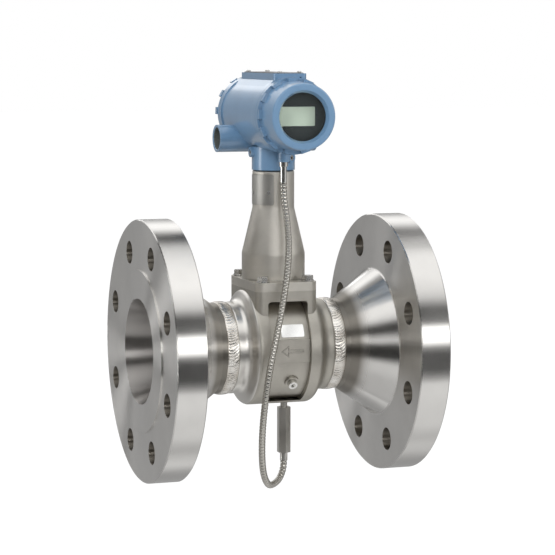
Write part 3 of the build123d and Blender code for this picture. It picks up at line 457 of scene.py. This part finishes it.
# Control points in millimetres from the meter's middle, from the head's ferrule down to the probe's
CABLE_ROUTE = [
    (1.0, -27.0, 161.9), (1.0, -27.0, 150.0), (2.8, -30.8, 130.8), (2.4, -40.0, 103.7), (-2.2, -49.3, 77.8),
    (-9.0, -56.8, 51.0), (-17.1, -63.5, 22.6), (-25.0, -67.2, -6.4), (-29.2, -66.0, -34.6), (-31.1, -60.0, -69.1),
    (-28.8, -50.8, -99.3), (-23.1, -39.2, -120.9), (-15.5, -30.6, -132.6), (-7.5, -20.5, -134.6),
    (1.5, -9.6, -133.5), (7.0, -3.6, -129.7), (11.2, 0.0, -121.5), (11.2, 0.0, -114.7),
]
CABLE_RADIUS = 0.0033
CABLE_SIDES = 20
ARMOUR_PITCH = 0.0035
ARMOUR_GROOVE = 0.0010
STEPS_A_PITCH = 12


def route_points(route):
    """The points of the smooth curve that the route's control points draw."""
    curve = bpy.data.curves.new("cable_route", "CURVE")
    curve.dimensions = "3D"
    curve.resolution_u = 24
    spline = curve.splines.new("NURBS")
    spline.points.add(len(route) - 1)
    for point, (x, y, z) in zip(spline.points, route):
        point.co = (MID_X + x / 1000, y / 1000, z / 1000, 1)
    spline.order_u = 3
    spline.use_endpoint_u = True
    carrier = bpy.data.objects.new("cable_route", curve)
    bpy.context.scene.collection.objects.link(carrier)
    bpy.context.view_layer.update()
    mesh = bpy.data.meshes.new_from_object(carrier)
    points = [vertex.co.copy() for vertex in mesh.vertices]
    bpy.data.objects.remove(carrier)
    bpy.data.curves.remove(curve)
    bpy.data.meshes.remove(mesh)
    return points


def even_points(points, step):
    """The same line with its points an even step apart, and its length."""
    reach = [0.0]
    for before, after in zip(points, points[1:]):
        reach.append(reach[-1] + (after - before).length)
    count = round(reach[-1] / step)
    even = []
    span = 0
    for index in range(count + 1):
        goal = reach[-1] * index / count
        while span < len(points) - 2 and reach[span + 1] < goal:
            span += 1
        share = (goal - reach[span]) / (reach[span + 1] - reach[span])
        even.append(points[span].lerp(points[span + 1], share))
    return even, reach[-1]


def armour_radius(distance, turn):
    """The cable's radius: a round-backed ridge that winds along it, with a narrow groove between its turns."""
    off_crest = 2 * ((distance / ARMOUR_PITCH + turn) % 1) - 1
    return CABLE_RADIUS - ARMOUR_GROOVE * (0.22 * off_crest ** 2 + 0.78 * off_crest ** 8)


def armour(name, line, length):
    """Strip-wound armour: a helical ridge round a tube that follows the line."""
    tube = bmesh.new()
    rings = []
    across = Vector((1, 0, 0))
    last = len(line) - 1
    for index, point in enumerate(line):
        ahead = (line[min(index + 1, last)] - line[max(index - 1, 0)]).normalized()
        across = (across - ahead * across.dot(ahead)).normalized()
        beside = ahead.cross(across)
        ring = []
        for side in range(CABLE_SIDES):
            turn = side / CABLE_SIDES
            angle = turn * math.tau
            radius = armour_radius(length * index / last, turn)
            ring.append(tube.verts.new(point + radius * (across * math.cos(angle) + beside * math.sin(angle))))
        rings.append(ring)
    for first, second in zip(rings, rings[1:]):
        bridge(tube, first, second)
    tube.faces.new(rings[0])
    tube.faces.new(list(reversed(rings[-1])))
    return new_piece(name, tube, armour_material)


cable_line, cable_length = even_points(route_points(CABLE_ROUTE), ARMOUR_PITCH / STEPS_A_PITCH)
cable = armour("cable_armour_tube", cable_line, cable_length)
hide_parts("armoured_cable")
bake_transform(cable)


# Camera

CAMERA_PLACE = (-0.68818 + MID_X, -2.01095, 0.29285)
CAMERA_YAW = 19.0056
CAMERA_PITCH = -6.0645
CAMERA_ROLL = 0.07
FOCAL_PIXELS = 2184.47
IMAGE_WIDTH = 555
SENSOR = 36.0

camera_data = bpy.data.cameras.new("camera")
camera_data.sensor_width = SENSOR
camera_data.lens = SENSOR * FOCAL_PIXELS / IMAGE_WIDTH
camera = bpy.data.objects.new("camera", camera_data)
camera_turn = (Matrix.Rotation(math.radians(-CAMERA_YAW), 3, "Z")
               @ Matrix.Rotation(math.radians(90 + CAMERA_PITCH), 3, "X")
               @ Matrix.Rotation(math.radians(CAMERA_ROLL), 3, "Z"))
camera.rotation_euler = camera_turn.to_euler()
camera.location = CAMERA_PLACE
bpy.context.scene.collection.objects.link(camera)
bpy.context.scene.camera = camera


# Lamps, which light the surfaces but don't show in them

LAMP_AIM = (MID_X, 0, 0.05)


def area_light(name, place, size, power):
    """A soft square lamp, turned to the meter."""
    data = bpy.data.lights.new(name, "AREA")
    data.shape = "RECTANGLE"
    data.size = size
    data.size_y = size
    data.energy = power
    lamp = bpy.data.objects.new(name, data)
    lamp.location = place
    lamp.rotation_euler = (Vector(LAMP_AIM) - Vector(place)).to_track_quat("-Z", "Y").to_euler()
    lamp.visible_glossy = False
    bpy.context.scene.collection.objects.link(lamp)


area_light("key_light", (-1.6, -1.3, 1.5), 0.9, 32)
area_light("fill_light", (1.3, -1.6, 0.7), 1.0, 20)
area_light("top_light", (MID_X, 0.3, 1.8), 1.2, 14)


# World: a white ground for the camera, an even light, and a studio that polished metal sees

PLAIN_LIGHT = 0.42

# The studio's brightness by degrees above the horizon, towards each of its sides
STUDIO = {
    "ahead": [
        (-90, 0.76), (-55, 0.78), (-40, 0.88), (-30, 0.86), (-26, 0.42), (-22, 0.16), (-18, 0.04), (-5, 0.05),
        (0, 0.28), (3.5, 1.4), (6, 2.3), (15, 2.3), (18, 0.7), (20, 0.06), (32, 0.06), (36, 0.34), (41, 0.85),
        (48, 1.15), (60, 1.4), (90, 1.3),
    ],
    "right_near": [
        (-90, 0.76), (-40, 0.85), (-30, 0.85), (-22, 0.85), (-8, 0.95), (2, 1.1), (6, 1.5), (18, 1.5), (24, 0.9),
        (34, 0.6), (42, 0.75), (60, 1.2), (90, 1.3),
    ],
    "right_side": [
        (-90, 0.76), (-40, 0.70), (-30, 0.45), (-22, 0.18), (-8, 0.10), (2, 0.20), (6, 0.50), (18, 0.50),
        (24, 0.20), (34, 0.30), (42, 0.75), (60, 1.2), (90, 1.3),
    ],
    "front_lamp": [
        (-90, 0.76), (-55, 0.78), (-40, 0.88), (-30, 0.86), (-26, 0.42), (-22, 0.16), (-18, 0.04), (-5, 0.05),
        (0, 0.06), (4, 0.3), (6.5, 2.8), (18, 3.0), (22, 0.5), (27, 0.10), (32, 0.08), (36, 0.34), (41, 0.85),
        (60, 1.4), (90, 1.3),
    ],
    "gap": [
        (-90, 0.76), (-55, 0.78), (-40, 0.80), (-30, 0.76), (-26, 0.38), (-22, 0.14), (-18, 0.04), (-3, 0.05),
        (3, 0.13), (14, 0.13), (19, 0.05), (30, 0.05), (34, 0.34), (39, 0.85), (48, 1.15), (60, 1.35), (90, 1.3),
    ],
    "left_side": [
        (-90, 0.76), (-50, 0.52), (-38, 0.68), (-28, 0.68), (-23, 0.50), (-19, 0.10), (-15, 0.02), (-5, 0.03),
        (-1, 0.45), (1, 1.0), (6, 1.0), (10, 0.30), (14, 0.05), (20, 0.03), (26, 0.30), (31, 1.0), (40, 1.15),
        (60, 1.1), (90, 1.3),
    ],
    "left_gap": [
        (-90, 0.76), (-50, 0.52), (-38, 0.60), (-24, 0.55), (-10, 0.55), (8, 0.60), (13, 0.15), (44, 0.12),
        (52, 0.50), (64, 1.0), (90, 1.3),
    ],
    "left_lamp": [
        (-90, 0.76), (-50, 0.52), (-38, 0.68), (-28, 0.60), (-20, 0.30), (-15, 0.5), (-11, 4.6), (1, 4.6),
        (5, 0.6), (14, 0.05), (20, 0.03), (26, 0.30), (31, 1.0), (40, 1.15), (60, 1.1), (90, 1.3),
    ],
    "left_behind": [
        (-90, 0.80), (-60, 0.45), (-50, 0.40), (-40, 0.50), (-30, 0.62), (-22, 0.55), (-16, 0.25), (-11, 0.05),
        (-1, 0.05), (2, 1.6), (4, 3.0), (7, 3.0), (10, 0.5), (13, 0.15), (20, 0.10), (30, 0.05), (38, 0.01),
        (51, 0.01), (57, 0.50), (64, 1.0), (90, 1.3),
    ],
    "behind": [
        (-90, 0.85), (-66, 0.92), (-60, 0.60), (-52, 0.40), (-44, 0.36), (-16, 0.40), (-8, 0.36), (0, 0.32),
        (6, 0.32), (13, 0.42), (18, 0.70), (23, 1.0), (29, 1.35), (39, 1.35), (45, 0.85), (49, 0.12), (53, 0.03),
        (59, 0.06), (62, 0.25), (66, 0.9), (72, 1.2), (90, 1.3),
    ],
    "back_lamp": [
        (-90, 0.85), (-60, 0.60), (-44, 0.36), (-16, 0.40), (-8, 0.36), (6, 0.32), (11, 0.4), (13, 1.8),
        (21, 1.8), (24, 1.1), (39, 1.35), (45, 0.85), (49, 0.12), (59, 0.06), (66, 0.9), (90, 1.3),
    ],
}
# Where each side takes over from those before it, by degrees from -Y, positive towards +X
STUDIO_SIDES = [
    ("right_near", [(37, 0.0), (45, 1.0)]),
    ("right_side", [(60, 0.0), (75, 1.0)]),
    ("front_lamp", [(-28, 0.0), (-22, 1.0), (-4, 1.0), (4, 0.0)]),
    ("gap", [(-30, 1.0), (-24, 0.0)]),
    ("left_side", [(-57, 1.0), (-43, 0.0)]),
    ("left_gap", [(-103, 1.0), (-98, 0.0)]),
    ("left_lamp", [(-104, 0.0), (-101, 1.0), (-89, 1.0), (-86, 0.0)]),
    ("left_behind", [(-124, 1.0), (-119, 0.0)]),
    ("behind", [(-141, 1.0), (-135, 0.0), (90, 0.0), (112, 1.0)]),
    ("back_lamp", [(-180, 1.0), (-177, 1.0), (-174, 0.0), (168, 0.0), (171, 1.0)]),
]
# The object's own shade on the floor under it
STUDIO_FLOOR = [(-90, 0.40), (-79, 0.50), (-70, 1.0)]

world = bpy.data.worlds.new("studio")
bpy.context.scene.world = world
world.use_nodes = True
sky = world.node_tree
sky.nodes.clear()
towards = add(sky, "ShaderNodeSeparateXYZ", {0: add(sky, "ShaderNodeTexCoord").outputs["Generated"]}).outputs
height = share_between(sky, math_node(sky, "ARCSINE", towards["Z"]), -math.pi / 2, math.pi / 2)
bearing = math_node(sky, "ARCTAN2", towards["X"], math_node(sky, "MULTIPLY", towards["Y"], -1.0))
bearing = share_between(sky, bearing, -math.pi, math.pi)


def by_height(stops):
    """A brightness by degrees above the horizon."""
    return ramp(sky, height, [((degrees + 90) / 180, value) for degrees, value in stops])


def by_bearing(stops):
    """A share by degrees round the horizon."""
    return ramp(sky, bearing, [((degrees + 180) / 360, value) for degrees, value in stops])


studio = by_height(STUDIO["ahead"])
for side_name, share_stops in STUDIO_SIDES:
    studio = mix_colour(sky, by_bearing(share_stops), studio, by_height(STUDIO[side_name]))
studio = mix_colour(sky, 1.0, studio, by_height(STUDIO_FLOOR), blend_type="MULTIPLY")
rays = add(sky, "ShaderNodeLightPath").outputs
light = mix_colour(sky, rays["Is Camera Ray"], PLAIN_LIGHT, 1.0)
light = mix_colour(sky, rays["Is Glossy Ray"], light, studio)
background = add(sky, "ShaderNodeBackground", {"Color": light, "Strength": 1.0})
add(sky, "ShaderNodeOutputWorld", {"Surface": background.outputs[0]})


# Floor: white paper that keeps the object's shadow

FLOOR_DROP = 0.004
FLOOR_REACH = 12.0
PAPER_GREY = 0.9
PAPER_GLOW = 1.08
GLOW_SHARE = 0.9

low = cad_box[0][2] - FLOOR_DROP
floor_mesh = bpy.data.meshes.new("studio_floor")
floor_mesh.from_pydata(
    [(x * FLOOR_REACH, y * FLOOR_REACH, low) for x, y in ((-1, -1), (1, -1), (1, 1), (-1, 1))], [], [(0, 1, 2, 3)])
floor = bpy.data.objects.new("studio_floor", floor_mesh)
bpy.context.scene.collection.objects.link(floor)
floor.visible_glossy = False
paper = bpy.data.materials.new("studio_paper")
paper.use_nodes = True
tree = paper.node_tree
tree.nodes.clear()
matt = add(tree, "ShaderNodeBsdfDiffuse", {"Color": PAPER_GREY})
white = add(tree, "ShaderNodeEmission", {"Color": 1.0, "Strength": PAPER_GLOW})
camera_ray = add(tree, "ShaderNodeLightPath").outputs["Is Camera Ray"]
glow = math_node(tree, "MULTIPLY", camera_ray, GLOW_SHARE)
sheet = add(tree, "ShaderNodeMixShader", {0: glow, 1: matt.outputs[0], 2: white.outputs[0]})
add(tree, "ShaderNodeOutputMaterial", {"Surface": sheet.outputs[0]})
floor_mesh.materials.append(paper)

bpy.context.scene.view_settings.view_transform = "Standard"
